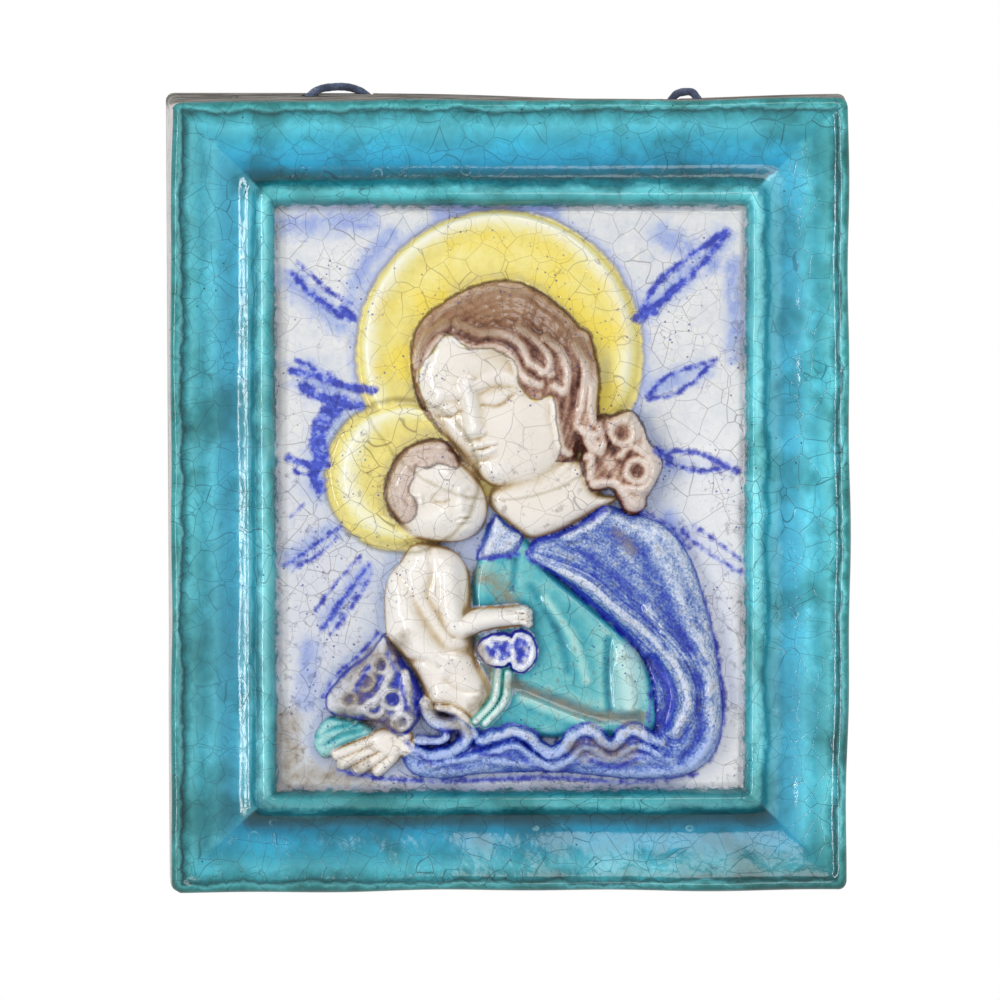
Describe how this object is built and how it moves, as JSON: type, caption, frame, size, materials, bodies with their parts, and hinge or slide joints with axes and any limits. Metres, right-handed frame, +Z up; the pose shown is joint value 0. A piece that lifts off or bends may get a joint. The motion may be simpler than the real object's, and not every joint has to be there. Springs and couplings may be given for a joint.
{
  "type": "decorative wall plaque",
  "caption": "Glazed earthenware relief plaque of a mother and child with haloes, moulded with its frame, hollow behind, hung on a slack cord.",
  "frame": {"origin": "on the flat back rim, in the middle of its top run, where the plaque lies against the wall", "axes": "+Z up along the plaque's height, +Y into the wall, so the relief faces -Y, and +X to the viewer's right"},
  "size_m": [0.2969, 0.0439, 0.3519],
  "materials": {
    "glazed_earthenware": "glossy crackled glaze, painted in blue, turquoise, yellow and brown on white",
    "cord": "soft braid, slate blue"
  },
  "bodies": {
    "root": {"plaque": "glazed_earthenware", "hanging_cord": "cord", "cord_knot_left": "cord", "cord_knot_right": "cord"}
  },
  "joints": []
}
